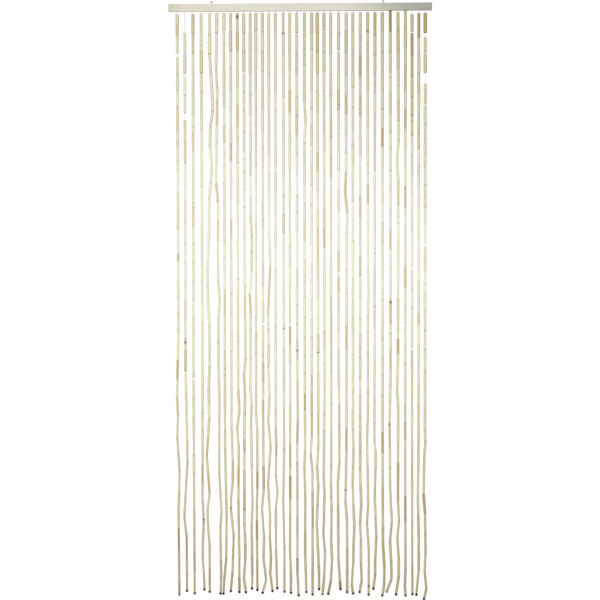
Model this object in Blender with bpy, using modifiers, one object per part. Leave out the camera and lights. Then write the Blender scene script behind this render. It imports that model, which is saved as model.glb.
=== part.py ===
"""A door curtain of bamboo tube strands that hang from a drilled wooden batten with two screw eyes.

Run with blender --background --python part.py. Metres, +Z up. The origin is the middle of the
batten's top face. The front of the curtain faces -Y.
"""

import math
from collections import namedtuple

import bpy

MM = 0.001
CURTAIN = "door_curtain"
CUTTERS = "cutters"

# Batten
BATTEN_WIDTH = 900 * MM
BATTEN_THICKNESS = 12 * MM
BATTEN_HEIGHT = 26 * MM
BATTEN_EDGE_ROUNDING = 1.0 * MM
THREAD_HOLE_RADIUS = 1.3 * MM
THREAD_HOLE_SIDES = 6
KNOT_POCKET_RADIUS = 2.4 * MM
KNOT_POCKET_DEPTH = 3.1 * MM
CUTTERS_SHARE = 1 * MM

# Screw eyes: a bent wire, with its screw in a blind hole in the batten's top. Sizes of the oval ring
# are to the wire's middle. It stands to the left of its screw.
EYE_WIRE_RADIUS = 1.0 * MM
EYE_RING_HALF_WIDTH = 3.75 * MM
EYE_RING_HALF_HEIGHT = 2.9 * MM
EYE_RING_LIFT = 6.45 * MM
EYE_RING_ASIDE = -2.0 * MM
EYE_SCREW_DEPTH = 10 * MM
EYE_BEND = 1.2 * MM
EYE_RING_START = math.radians(-58)
EYE_RING_END = math.radians(262)
EYE_RING_STEPS = 16
SCREW_CLEARANCE = 0.35 * MM
SCREW_HOLE_SIDES = 16

# Strands. Radii and sizes along the thread are from what such beads and cords measure.
THREAD_RADIUS = 0.6 * MM
KNOT_RADIUS = 1.7 * MM
KNOT_TOP = 0.3 * MM
KNOT_FOOT = 2.7 * MM
BEAD_RADIUS = 4.8 * MM
SHOULDER = 0.5 * MM
WIDER_AT_TOP = 0.28
WIDER_DOWN_TO = 1000 * MM
TOP_GAP = 6 * MM
FORE_AFT_SWAY = 4 * MM
FORE_AFT_WAVE = 420 * MM
SWAY_TURN_PER_STRAND = 2.4
CURVE_UNIT = 1 * MM
SIX_SIDED = 1
EIGHT_SIDED = 2

# (share of the bead's radius below its middle, share of its radius)
BEAD_OUTLINE = ((-0.6, 0.8), (0.0, 1.0), (0.6, 0.8), (0.95, 0.3))

Eye = namedtuple("Eye", "name across turned")
EYES = (
    # across is the distance from the batten's middle. turned is about the screw.
    Eye("left_screw_eye", across=-300 * MM, turned=0),
    Eye("right_screw_eye", across=285.5 * MM, turned=math.radians(30)),
)

# hole: the strand's thread hole, from the batten's middle. wide: its lower tubes' diameter.
# bends: (depth, aside) where tubes meet at an angle. depth is below the batten's top, and aside is
# to the right of the plumb line from the hole. end: depth and aside of the end bead.
# top: bare thread under the batten. bare: (from, to) depths of other long stretches of bare thread.
# All are in millimetres.
Strand = namedtuple("Strand", "hole wide bends end top bare", defaults=(TOP_GAP / MM, ()))
STRANDS = (
    Strand(-420, 8.4, ((1119, 2), (1344, -3), (1409, 0), (1482, -3), (1606, 5), (1740, 1)),
           end=(2031, 3), top=9, bare=((167, 180),)),
    Strand(-394, 8.4, ((1256, 0), (1503, 5), (1572, 6), (1693, -1), (1763, -5), (1830, 3)),
           end=(2017, 4), top=72, bare=((373, 396),)),
    Strand(-366, 8.2, ((1260, 0), (1807, 2)), end=(2025, 3), top=8),
    Strand(-338, 8.4, ((1283, 3), (1706, 2), (1768, 8), (1786, 4), (1901, 2), (1960, 6)),
           end=(2013, 8)),
    Strand(-309, 8.6, ((170, 0), (320, 9), (365, 10), (421, 2), (487, 1), (558, 7), (667, -2),
                       (811, -4), (903, -9), (1029, -7), (1101, -2), (1241, -2), (1320, -5),
                       (1419, -3), (1553, -12), (1679, -2), (1734, -9), (1773, -9), (1862, -2)),
           end=(2019, -2)),
    Strand(-284, 8.2, ((225, -3), (286, 1), (613, -3), (678, 3), (948, 3), (1009, 9), (1078, 4),
                       (1242, 4), (1343, 7), (1606, 6), (1747, 14), (1794, 10), (1975, 12)),
           end=(2026, 10)),
    Strand(-260, 8.2, ((1249, 2), (1523, 2), (1652, 5), (1761, 7), (1902, 6), (1975, -1)),
           end=(2026, -4)),
    Strand(-237, 8.2, ((1455, 2), (1568, 6), (1637, 6), (1699, 0), (1736, 0), (1826, 9), (1950, 5)),
           end=(2016, -1)),
    Strand(-214, 8.4, ((1324, 2), (1392, 6), (1456, -2), (1520, 4), (1702, 2), (1903, 5)),
           end=(2021, 5)),
    Strand(-192, 8.8, ((901, 2), (1212, 5), (1267, 0), (1339, 3), (1466, 1), (1786, 1), (1855, 4),
                       (1910, 4), (1972, -1)), end=(2020, 6)),
    Strand(-170, 8.4, ((723, 1), (795, 5), (914, 4), (992, -2), (1054, 1), (1313, 0), (1379, 4),
                       (1448, 2), (1714, 7), (1786, 4), (1958, 6)), end=(2007, 5)),
    Strand(-150.5, 8.0, ((1407, 0), (1458, 4), (1661, 4), (1724, 2)), end=(2013, 4)),
    Strand(-128, 8.4, ((1523, 2), (1661, 4), (1722, -7), (1744, 2), (1830, 5), (1905, 3), (1977, 12)),
           end=(2021, 0)),
    Strand(-106.5, 8.2, ((785, 1), (895, 5), (1066, -3), (1168, 0), (1243, -2), (1344, 2), (1430, -2),
                         (1517, 6), (1644, -3), (1758, 4), (1831, 3), (1900, 7), (1955, 4)),
           end=(2016, 12)),
    Strand(-84, 8.2, ((1456, 1), (1514, 3), (1617, 1), (1676, 7), (1735, 1), (1873, 2)),
           end=(2006, 6)),
    Strand(-57, 8.2, ((1107, 2), (1525, 3), (1711, 0), (1866, 4)), end=(2017, 4)),
    Strand(-35, 8.0, ((1697, 2), (1877, 1), (1953, 4)), end=(2022, 4)),
    Strand(-11, 8.4, ((1217, 2), (1430, 4), (1505, 2), (1953, 3)), end=(2029, 7)),
    Strand(15.5, 8.4, ((330, 0), (400, 8), (407, 0), (1389, 2), (1526, 3), (1588, 0), (1678, 3),
                       (1888, 3)), end=(2018, 7)),
    Strand(40, 8.4, ((1478, 1), (1540, -3), (1602, 3), (1726, 4)), end=(2027, 4)),
    Strand(59.5, 8.8, ((1519, 4), (1588, 0), (1650, 4), (1781, -1), (1954, 7)), end=(2007, 7)),
    Strand(82, 8.4, ((1320, 3), (1612, 0), (1684, 3), (1822, -1), (1878, 5), (1964, 2)),
           end=(2026, -4)),
    Strand(105, 8.6, ((1526, 3), (1640, 2), (1740, 4), (1850, 3), (1906, 6), (1978, 2)),
           end=(2023, -7)),
    Strand(132, 8.8, ((1252, 1), (1372, 3), (1571, 4), (1636, -1), (1906, 1)), end=(2007, 8)),
    Strand(158, 9.0, ((575, 0), (643, -3), (709, 6), (717, 2), (1526, 2), (1705, -1), (1767, 4),
                      (1868, 5)), end=(2019, 5)),
    Strand(180.5, 8.6, ((1458, 2), (1523, 4), (1650, 1), (1792, 7), (1868, 4), (1909, 4), (1992, -2)),
           end=(2021, 3)),
    Strand(206, 8.8, ((1595, 1), (1716, 5), (1782, 1), (1837, 4), (1917, 4), (1979, 7)),
           end=(2017, 0)),
    Strand(231, 8.4, ((909, 2), (990, 7), (997, 2), (1383, 3), (1493, 0), (1716, 4), (1782, 0),
                      (1868, 6)), end=(2026, 6)),
    Strand(256, 8.6, ((1493, 0), (1534, 4), (1589, 4), (1685, 1), (1824, 7), (1910, 3), (1958, 3)),
           end=(2004, -3)),
    Strand(281, 9.0, ((1494, 3), (1851, 5), (1934, 10), (1992, 9)), end=(2029, 3)),
    Strand(308, 8.6, ((1240, 3), (1434, 0), (1651, 2), (1775, 8), (1841, 2), (1910, 6), (1972, 7)),
           end=(2014, -9), top=1),
    Strand(334, 9.0, ((468, 3), (536, -2), (604, 2), (1219, 2), (1326, -1), (1374, 3), (1700, 3),
                      (1768, 7), (1826, 1), (1900, 6), (1962, 6)), end=(2024, -3)),
    Strand(359.5, 8.6, ((1529, 2), (1935, 4), (1994, 2)), end=(2028, 4), top=1.5),
    Strand(382, 8.4, ((1530, 3), (1840, 4)), end=(2022, 5), top=13),
    Strand(405, 8.8, ((1530, 2), (1685, 0), (1806, 3), (1937, 4)), end=(2025, -4), top=9),
    Strand(427, 9.0, ((1461, 2), (1499, 4), (1544, 0), (1679, -2), (1743, 3), (1880, 5), (1945, 2),
                      (2004, 8)), end=(2039, 0), top=9, bare=((103, 117), (239, 275))),
)


def clear_scene():
    for item in list(bpy.data.objects):
        bpy.data.objects.remove(item, do_unlink=True)


def new_collection(name):
    collection = bpy.data.collections.new(name)
    bpy.context.scene.collection.children.link(collection)
    return collection


def new_material(name, colour, roughness, metallic=0.0):
    material = bpy.data.materials.new(name)
    material.use_nodes = True
    shader = material.node_tree.nodes["Principled BSDF"]
    shader.inputs["Base Color"].default_value = (*colour, 1.0)
    shader.inputs["Roughness"].default_value = roughness
    shader.inputs["Metallic"].default_value = metallic
    return material


def move_to_collection(item, collection):
    for holder in list(item.users_collection):
        holder.objects.unlink(item)
    collection.objects.link(item)


def wire(name, stations, resolution, collection, material):
    """A closed round wire through stations of (x, y, z, radius), as a poly curve with filled caps."""
    data = bpy.data.curves.new(name, "CURVE")
    data.dimensions = "3D"
    data.bevel_depth = CURVE_UNIT
    data.bevel_resolution = resolution
    data.render_resolution_u = 0
    data.use_fill_caps = True
    spline = data.splines.new("POLY")
    spline.points.add(len(stations) - 1)
    for point, (x, y, z, radius) in zip(spline.points, stations):
        point.co = (x, y, z, 1.0)
        point.radius = radius / CURVE_UNIT
    data.materials.append(material)
    item = bpy.data.objects.new(name, data)
    collection.objects.link(item)
    return item


def drill(name, across, radius, sides, top, bottom, collection):
    """A cutter for one round hole that runs down the batten from top to bottom."""
    bpy.ops.mesh.primitive_cylinder_add(
        vertices=sides, radius=radius, depth=top - bottom, location=(across, 0, (top + bottom) / 2)
    )
    cutter = bpy.context.object
    cutter.name = name
    cutter.hide_render = True
    cutter.display_type = "WIRE"
    move_to_collection(cutter, collection)
    return cutter


def build_batten(collection, cutters, material):
    bpy.ops.mesh.primitive_cube_add(size=1, location=(0, 0, -BATTEN_HEIGHT / 2))
    batten = bpy.context.object
    batten.name = "batten"
    batten.scale = (BATTEN_WIDTH, BATTEN_THICKNESS, BATTEN_HEIGHT)
    bpy.ops.object.transform_apply(location=False, rotation=False, scale=True)
    move_to_collection(batten, collection)
    batten.data.materials.append(material)

    rounding = batten.modifiers.new("rounded edges", "BEVEL")
    rounding.width = BATTEN_EDGE_ROUNDING
    rounding.segments = 1

    past = BATTEN_EDGE_ROUNDING
    for number, strand in enumerate(STRANDS, start=1):
        drill(f"knot_pocket_{number:02d}", strand.hole * MM, KNOT_POCKET_RADIUS, THREAD_HOLE_SIDES,
              past, -KNOT_POCKET_DEPTH, cutters)
        drill(f"thread_hole_{number:02d}", strand.hole * MM, THREAD_HOLE_RADIUS, THREAD_HOLE_SIDES,
              CUTTERS_SHARE - KNOT_POCKET_DEPTH, -BATTEN_HEIGHT - past, cutters)
    for eye in EYES:
        drill(f"{eye.name}_hole", eye.across, EYE_WIRE_RADIUS + SCREW_CLEARANCE, SCREW_HOLE_SIDES,
              past, -EYE_SCREW_DEPTH - SCREW_CLEARANCE, cutters)

    holes = batten.modifiers.new("drilled holes", "BOOLEAN")
    holes.operation = "DIFFERENCE"
    holes.operand_type = "COLLECTION"
    holes.collection = cutters
    return batten


def build_screw_eye(eye, collection, material):
    """The wire runs straight up out of the batten, bends once and runs round its ring."""
    neck = EYE_RING_LIFT + EYE_RING_HALF_HEIGHT * math.sin(EYE_RING_START) - EYE_BEND
    flat = [(0.0, -EYE_SCREW_DEPTH), (0.0, 0.0), (0.0, neck)]
    sweep = EYE_RING_END - EYE_RING_START
    for step in range(EYE_RING_STEPS + 1):
        angle = EYE_RING_START + sweep * step / EYE_RING_STEPS
        flat.append((EYE_RING_ASIDE + EYE_RING_HALF_WIDTH * math.cos(angle),
                     EYE_RING_LIFT + EYE_RING_HALF_HEIGHT * math.sin(angle)))
    stations = []
    for aside, height in flat:
        x = eye.across + aside * math.cos(eye.turned)
        y = aside * math.sin(eye.turned)
        stations.append((x, y, height, EYE_WIRE_RADIUS))
    return wire(eye.name, stations, EIGHT_SIDED, collection, material)


def aside_at(strand, depth):
    """How far the strand hangs to the right of its hole at this depth, in millimetres."""
    first = BATTEN_HEIGHT / MM + strand.top
    corners = [(first, 0.0), *strand.bends, strand.end]
    if depth <= first:
        return 0.0
    for (upper, left), (lower, right) in zip(corners, corners[1:]):
        if depth <= lower:
            return left + (right - left) * (depth - upper) / (lower - upper)
    return strand.end[1]


def fore_and_aft(number, depth):
    """How far the strand hangs behind the batten's middle plane at this depth, in metres."""
    swing = math.sin(number * SWAY_TURN_PER_STRAND + depth * MM / FORE_AFT_WAVE)
    return FORE_AFT_SWAY * swing * depth / STRANDS[-1].end[0]


def tube_at(strand, depth):
    """(depth, radius) of the tube at this depth. The upper tubes are the widest."""
    wider = WIDER_AT_TOP * max(0.0, 1 - depth * MM / WIDER_DOWN_TO)
    return depth, strand.wide * MM / 2 * (1 + wider)


def strand_profile(strand):
    """(depth, radius) down one strand: knot, thread, tubes, bare stretches and end bead."""
    thread = THREAD_RADIUS
    shoulder = SHOULDER / MM
    bead = BEAD_RADIUS / MM
    first = BATTEN_HEIGHT / MM + strand.top
    last = strand.end[0] - bead - shoulder
    profile = [
        (KNOT_TOP / MM, KNOT_RADIUS),
        (KNOT_FOOT / MM - shoulder, KNOT_RADIUS),
        (KNOT_FOOT / MM, thread),
        (first - shoulder, thread),
        tube_at(strand, first),
    ]
    profile += [tube_at(strand, depth) for depth, _ in strand.bends]
    for upper, lower in strand.bare:
        profile += [tube_at(strand, upper), (upper + shoulder, thread)]
        profile += [(lower - shoulder, thread), tube_at(strand, lower)]
    profile += [tube_at(strand, last), (last + shoulder, thread)]
    profile += [(strand.end[0] + bead * below, BEAD_RADIUS * share) for below, share in BEAD_OUTLINE]
    return sorted(profile)


def build_strand(number, strand, collection, material):
    stations = []
    for depth, radius in strand_profile(strand):
        x = (strand.hole + aside_at(strand, depth)) * MM
        y = fore_and_aft(number, max(depth - BATTEN_HEIGHT / MM - strand.top, 0.0))
        stations.append((x, y, -depth * MM, radius))
    return wire(f"strand_{number:02d}", stations, SIX_SIDED, collection, material)


def main():
    clear_scene()
    curtain = new_collection(CURTAIN)
    cutters = new_collection(CUTTERS)
    wood = new_material("planed_wood", colour=(0.78, 0.72, 0.62), roughness=0.6)
    steel = new_material("zinc_steel", colour=(0.45, 0.46, 0.47), roughness=0.35, metallic=1.0)
    bamboo = new_material("bamboo", colour=(0.74, 0.68, 0.47), roughness=0.45)

    build_batten(curtain, cutters, wood)
    for eye in EYES:
        build_screw_eye(eye, curtain, steel)
    for number, strand in enumerate(STRANDS, start=1):
        build_strand(number, strand, curtain, bamboo)


main()
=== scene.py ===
"""The looks of a door curtain of bamboo tubes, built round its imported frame.

Metres, +Z up. The origin is the middle of the batten's top face, and the front faces -Y.
"""

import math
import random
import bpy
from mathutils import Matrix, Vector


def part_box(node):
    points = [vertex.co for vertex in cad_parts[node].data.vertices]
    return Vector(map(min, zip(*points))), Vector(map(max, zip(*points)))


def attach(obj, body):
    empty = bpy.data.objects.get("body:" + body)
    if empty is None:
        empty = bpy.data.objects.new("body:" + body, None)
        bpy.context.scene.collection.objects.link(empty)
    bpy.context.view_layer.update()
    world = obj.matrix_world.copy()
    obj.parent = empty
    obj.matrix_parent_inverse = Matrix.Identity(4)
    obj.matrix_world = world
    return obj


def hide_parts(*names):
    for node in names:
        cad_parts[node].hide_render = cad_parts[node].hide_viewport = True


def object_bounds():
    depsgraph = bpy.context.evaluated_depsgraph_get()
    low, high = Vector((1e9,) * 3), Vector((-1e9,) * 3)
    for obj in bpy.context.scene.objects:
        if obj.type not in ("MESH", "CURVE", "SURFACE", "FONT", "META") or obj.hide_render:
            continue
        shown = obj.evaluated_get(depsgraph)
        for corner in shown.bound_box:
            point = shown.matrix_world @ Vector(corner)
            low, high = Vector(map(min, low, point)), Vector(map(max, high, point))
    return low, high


bl_info = {
    "name": "Bamboo Tube Door Curtain",
    "version": (1, 0, 0),
    "blender": (4, 5, 0),
    "location": "View3D > Sidebar > Door Curtain",
    "description": "Builds a door curtain: batten, screw eyes, threads, bamboo tubes and end beads",
    "category": "Add Mesh",
}

from collections import namedtuple

import bmesh
import bpy
from mathutils import Matrix, Vector

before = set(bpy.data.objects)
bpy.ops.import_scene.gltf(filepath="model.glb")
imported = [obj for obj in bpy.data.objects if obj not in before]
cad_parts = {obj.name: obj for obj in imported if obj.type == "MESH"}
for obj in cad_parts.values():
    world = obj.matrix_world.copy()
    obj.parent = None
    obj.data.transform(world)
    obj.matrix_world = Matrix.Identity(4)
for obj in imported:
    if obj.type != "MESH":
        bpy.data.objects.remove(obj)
CAD_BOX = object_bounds()

MM = 0.001
BODY = "root"

# Batten, as the frame has it
BATTEN_LOW, BATTEN_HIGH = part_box("batten")
BATTEN_HEIGHT = (BATTEN_HIGH[2] - BATTEN_LOW[2]) / MM
THREAD_HOLE_RADIUS = 1.3
KNOT_POCKET_RADIUS = 2.4
KNOT_POCKET_DEPTH = 3.1
SCREW_CLEARANCE = 0.35
# How far a cutter stands out of the wood, and how far one hole's cutter reaches into the next
HOLE_PAST = 2.0
HOLE_OVERLAP = 1.0
WIDE_HOLE_SIDES = 20
THREAD_HOLE_SIDES = 16

# Screw eyes, in millimetres. An eye's ring stands to the left of its screw.
EYE_RING_LIFT = 6.45
EYE_RING_ASIDE = -2.0
EYE_RING_FLATNESS = 0.773
EYE_RING_START = math.radians(-58)
EYE_RING_END = math.radians(262)
EYE_BEND = 1.2
EYE_SCREW_DEPTH = 10.0
Eye = namedtuple("Eye", "node across turned")
EYES = (
    Eye("left_screw_eye", across=-300.0, turned=0.0),
    Eye("right_screw_eye", across=285.5, turned=math.radians(30)),
)

# Strands, in millimetres
BEAD_RADIUS = 4.8
TOP_GAP = 6.0
WIDER_AT_TOP = 0.32
WIDER_DOWN_TO = 700.0
FORE_AFT_SWAY = 4.0
FORE_AFT_WAVE = 420.0
SWAY_TURN_PER_STRAND = 2.4

# hole: the strand's thread hole, from the batten's middle. wide: its lower tubes' usual diameter.
# bends: (depth, aside) where tubes meet at an angle. depth is below the batten's top, and aside is
# to the right of the plumb line from the hole. end: depth and aside of the end bead.
# top: bare thread under the batten. bare: (from, to) depths of other long stretches of bare thread.
# loose: (depth, size) of short gaps between two tubes. bead: the end bead's stain.
# All are in millimetres.
Strand = namedtuple(
    "Strand", "hole wide bends end top bare loose bead", defaults=(TOP_GAP, (), (), "black")
)
STRANDS = (
    Strand(-420, 8.4, ((1119, 2), (1344, -3), (1409, 0), (1482, -3), (1606, 5), (1740, 1)),
           end=(2031, 3), top=9, bare=((167, 180),), bead="tan"),
    Strand(-394, 8.4, ((1256, 0), (1503, 5), (1572, 6), (1693, -1), (1763, -5), (1830, 3)),
           end=(2017, 4), top=72, bare=((373, 396),), loose=((166, 3), (240, 8), (1262, 5))),
    Strand(-366, 8.2, ((1260, 0), (1807, 2)), end=(2025, 3), top=8, loose=((1285, 7),),
           bead="umber"),
    Strand(-338, 8.4, ((1283, 3), (1706, 2), (1768, 8), (1786, 4), (1901, 2), (1960, 6)),
           end=(2013, 8), bead="moss"),
    Strand(-309, 8.6, ((170, 0), (320, 9), (365, 10), (421, 2), (487, 1), (558, 7), (667, -2),
                       (811, -4), (903, -9), (1029, -7), (1101, -2), (1241, -2), (1320, -5),
                       (1419, -3), (1553, -12), (1679, -2), (1734, -9), (1773, -9), (1862, -2)),
           end=(2019, -2), bead="umber"),
    Strand(-284, 8.2, ((225, -3), (286, 1), (613, -3), (678, 3), (948, 3), (1009, 9), (1078, 4),
                       (1242, 4), (1343, 7), (1606, 6), (1747, 14), (1794, 10), (1975, 12)),
           end=(2026, 10), loose=((814, 5),)),
    Strand(-260, 8.2, ((1249, 2), (1523, 2), (1652, 5), (1761, 7), (1902, 6), (1975, -1)),
           end=(2026, -4), loose=((94, 3),)),
    Strand(-237, 8.2, ((1455, 2), (1568, 6), (1637, 6), (1699, 0), (1736, 0), (1826, 9), (1950, 5)),
           end=(2016, -1)),
    Strand(-214, 8.4, ((1324, 2), (1392, 6), (1456, -2), (1520, 4), (1702, 2), (1903, 5)),
           end=(2021, 5)),
    Strand(-192, 8.8, ((901, 2), (1212, 5), (1267, 0), (1339, 3), (1466, 1), (1786, 1), (1855, 4),
                       (1910, 4), (1972, -1)), end=(2020, 6), loose=((233, 4),)),
    Strand(-170, 8.4, ((723, 1), (795, 5), (914, 4), (992, -2), (1054, 1), (1313, 0), (1379, 4),
                       (1448, 2), (1714, 7), (1786, 4), (1958, 6)), end=(2007, 5)),
    Strand(-150.5, 8.0, ((1407, 0), (1458, 4), (1661, 4), (1724, 2)), end=(2013, 4)),
    Strand(-128, 8.4, ((1523, 2), (1661, 4), (1722, -7), (1744, 2), (1830, 5), (1905, 3), (1977, 12)),
           end=(2021, 0), loose=((1094, 9),)),
    Strand(-106.5, 8.2, ((785, 1), (895, 5), (1066, -3), (1168, 0), (1243, -2), (1344, 2), (1430, -2),
                         (1517, 6), (1644, -3), (1758, 4), (1831, 3), (1900, 7), (1955, 4)),
           end=(2016, 12)),
    Strand(-84, 8.2, ((1456, 1), (1514, 3), (1617, 1), (1676, 7), (1735, 1), (1873, 2)),
           end=(2006, 6), loose=((570, 3), (1031, 3), (1232, 3))),
    Strand(-57, 8.2, ((1107, 2), (1525, 3), (1711, 0), (1866, 4)), end=(2017, 4),
           loose=((384, 3),), bead="grey"),
    Strand(-35, 8.0, ((1697, 2), (1877, 1), (1953, 4)), end=(2022, 4), loose=((101, 3), (1097, 7))),
    Strand(-11, 8.4, ((1217, 2), (1430, 4), (1505, 2), (1953, 3)), end=(2029, 7),
           loose=((101, 3), (584, 3), (1897, 3))),
    Strand(15.5, 8.4, ((330, 0), (400, 8), (407, 0), (1389, 2), (1526, 3), (1588, 0), (1678, 3),
                       (1888, 3)), end=(2018, 7), bead="grey"),
    Strand(40, 8.4, ((1478, 1), (1540, -3), (1602, 3), (1726, 4)), end=(2027, 4), bead="umber"),
    Strand(59.5, 8.8, ((1519, 4), (1588, 0), (1650, 4), (1781, -1), (1954, 7)), end=(2007, 7)),
    Strand(82, 8.4, ((1320, 3), (1612, 0), (1684, 3), (1822, -1), (1878, 5), (1964, 2)),
           end=(2026, -4), loose=((96, 3), (236, 3), (835, 3)), bead="beige"),
    Strand(105, 8.6, ((1526, 3), (1640, 2), (1740, 4), (1850, 3), (1906, 6), (1978, 2)),
           end=(2023, -7)),
    Strand(132, 8.8, ((1252, 1), (1372, 3), (1571, 4), (1636, -1), (1906, 1)), end=(2007, 8),
           loose=((162, 5),)),
    Strand(158, 9.0, ((575, 0), (643, -3), (709, 6), (717, 2), (1526, 2), (1705, -1), (1767, 4),
                      (1868, 5)), end=(2019, 5), bead="grey"),
    Strand(180.5, 8.6, ((1458, 2), (1523, 4), (1650, 1), (1792, 7), (1868, 4), (1909, 4), (1992, -2)),
           end=(2021, 3)),
    Strand(206, 8.8, ((1595, 1), (1716, 5), (1782, 1), (1837, 4), (1917, 4), (1979, 7)),
           end=(2017, 0), loose=((937, 5),), bead="umber"),
    Strand(231, 8.4, ((909, 2), (990, 7), (997, 2), (1383, 3), (1493, 0), (1716, 4), (1782, 0),
                      (1868, 6)), end=(2026, 6), bead="plum"),
    Strand(256, 8.6, ((1493, 0), (1534, 4), (1589, 4), (1685, 1), (1824, 7), (1910, 3), (1958, 3)),
           end=(2004, -3)),
    Strand(281, 9.0, ((1494, 3), (1851, 5), (1934, 10), (1992, 9)), end=(2029, 3),
           loose=((1075, 3),), bead="moss"),
    Strand(308, 8.6, ((1240, 3), (1434, 0), (1651, 2), (1775, 8), (1841, 2), (1910, 6), (1972, 7)),
           end=(2014, -9), top=1, loose=((1100, 3),), bead="beige"),
    Strand(334, 9.0, ((468, 3), (536, -2), (604, 2), (1219, 2), (1326, -1), (1374, 3), (1700, 3),
                      (1768, 7), (1826, 1), (1900, 6), (1962, 6)), end=(2024, -3),
           loose=((1142, 3),)),
    Strand(359.5, 8.6, ((1529, 2), (1935, 4), (1994, 2)), end=(2028, 4), top=1.5,
           loose=((1100, 3), (1498, 3)), bead="grey"),
    Strand(382, 8.4, ((1530, 3), (1840, 4)), end=(2022, 5), top=13,
           loose=((100, 5), (904, 7), (1180, 6))),
    Strand(405, 8.8, ((1530, 2), (1685, 0), (1806, 3), (1937, 4)), end=(2025, -4), top=9,
           loose=((831, 3), (1232, 3))),
    Strand(427, 9.0, ((1461, 2), (1499, 4), (1544, 0), (1679, -2), (1743, 3), (1880, 5), (1945, 2),
                      (2004, 8)), end=(2039, 0), top=9, bare=((103, 117), (239, 275)),
           loose=((173, 3), (347, 4), (827, 6))),
)

# Tubes that stand out from the pale ones: (from, to, cane), depths in millimetres, by strand number.
MARKED = {
    1: ((72, 107, "amber"), (350, 425, "gold"), (640, 765, "straw"), (855, 880, "umber"),
        (1218, 1286, "umber"), (1347, 1410, "tan"), (1800, 1870, "honey"), (1870, 1935, "grey"),
        (1992, 2023, "umber")),
    2: ((396, 470, "gold"), (470, 545, "gold"), (1145, 1190, "pink"), (1190, 1256, "tan"),
        (1840, 1900, "tan")),
    3: ((34, 102, "gold"), (102, 170, "amber"), (438, 500, "amber"), (694, 759, "amber"),
        (1882, 1948, "grey")),
    4: ((159, 234, "gold"), (1583, 1648, "olive")),
    5: ((1492, 1553, "amber"), (1615, 1679, "amber"), (1938, 1990, "gold")),
    6: ((326, 411, "amber"), (613, 678, "amber"), (740, 812, "amber")),
    7: ((736, 812, "pink"), (978, 1062, "tan")),
    8: ((97, 160, "pink"), (477, 535, "amber"), (736, 801, "pink"), (1584, 1637, "tan"),
        (1841, 1897, "straw"), (1950, 2008, "tan")),
    9: ((97, 160, "amber"), (347, 416, "amber"), (1331, 1392, "gold"), (1590, 1650, "honey"),
        (1970, 2013, "umber")),
    10: ((1004, 1069, "straw"), (1255, 1320, "straw"), (1494, 1535, "amber"), (1665, 1735, "gold")),
    11: ((727, 795, "straw"), (1008, 1054, "amber")),
    12: ((998, 1016, "umber"), (1605, 1661, "umber"), (1772, 1842, "umber"), (1912, 2008, "rust")),
    13: ((1228, 1294, "olive"), (1356, 1422, "olive"), (1585, 1661, "umber")),
    14: ((895, 940, "olive"), (940, 1066, "tan")),
    15: ((1494, 1546, "rust"),),
    16: ((721, 783, "olive"),),
    17: ((84, 98, "umber"), (295, 370, "amber"), (1101, 1167, "umber"), (1508, 1592, "olive"),
         (1617, 1685, "drab")),
    18: ((380, 448, "amber"), (1430, 1505, "amber"), (1913, 1953, "rust")),
    19: ((743, 807, "straw"), (1333, 1389, "drab"), (1815, 1878, "tan")),
    20: ((1271, 1302, "amber"), (1330, 1405, "olive"), (1405, 1478, "olive"), (1726, 1794, "drab")),
    21: ((33, 100, "gold"), (100, 163, "amber"), (163, 235, "gold"), (510, 572, "amber"),
         (770, 866, "amber"), (1400, 1470, "straw"), (1925, 1985, "pink")),
    22: ((637, 770, "straw"), (770, 835, "umber")),
    23: ((390, 455, "straw"), (455, 525, "straw"), (525, 590, "straw"), (1003, 1137, "olive"),
         (1978, 2018, "umber")),
    24: ((297, 363, "olive"), (844, 914, "olive"), (938, 980, "rust"), (1715, 1791, "tan"),
         (1980, 2004, "brown")),
    25: ((314, 379, "amber"), (575, 643, "amber"), (643, 709, "olive"), (1104, 1176, "rust"),
         (1452, 1526, "rust")),
    27: ((178, 249, "umber"), (317, 379, "amber"), (658, 727, "olive"), (864, 934, "olive"),
         (1470, 1530, "pink"), (1530, 1594, "gold")),
    28: ((618, 681, "olive"),),
    29: ((33, 110, "gold"),),
    30: ((427, 489, "honey"), (1464, 1535, "umber"), (1655, 1731, "amber"), (1865, 1934, "amber")),
    31: ((33, 97, "ochre"), (772, 840, "amber"), (1011, 1096, "amber"), (1176, 1240, "tan"),
         (1438, 1512, "tan")),
    32: ((95, 160, "gold"), (340, 400, "gold"), (617, 685, "olive"), (1146, 1196, "umber"),
         (1571, 1700, "umber")),
    33: ((215, 300, "amber"), (363, 427, "umber"), (622, 697, "umber"), (900, 970, "amber"),
         (1435, 1495, "olive"), (1685, 1775, "umber")),
    34: ((103, 179, "umber"), (179, 249, "amber"), (249, 318, "gold"), (318, 384, "amber"),
         (384, 451, "gold"), (1183, 1239, "grey"), (1248, 1350, "straw"), (1578, 1634, "gold"),
         (1925, 1994, "gold")),
    35: ((35, 120, "umber"), (427, 496, "amber"), (1064, 1094, "amber"), (1374, 1429, "amber")),
    36: ((35, 90, "umber"), (618, 697, "straw"), (834, 910, "straw"), (1683, 1743, "umber")),
}

# Burnt or rotten specks on a tube's front: (depth, size), in millimetres, by strand number.
SPECKS = {
    2: ((1158, 8),), 4: ((1770, 9),), 8: ((1728, 5),), 9: ((45, 13),), 10: ((1731, 5),),
    16: ((103, 4), (1110, 5)), 18: ((1186, 5),), 21: ((163, 4), (1192, 5)), 25: ((1665, 6),),
    28: ((95, 4), (1995, 8)), 31: ((1020, 8), (1438, 5)),
}

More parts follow.
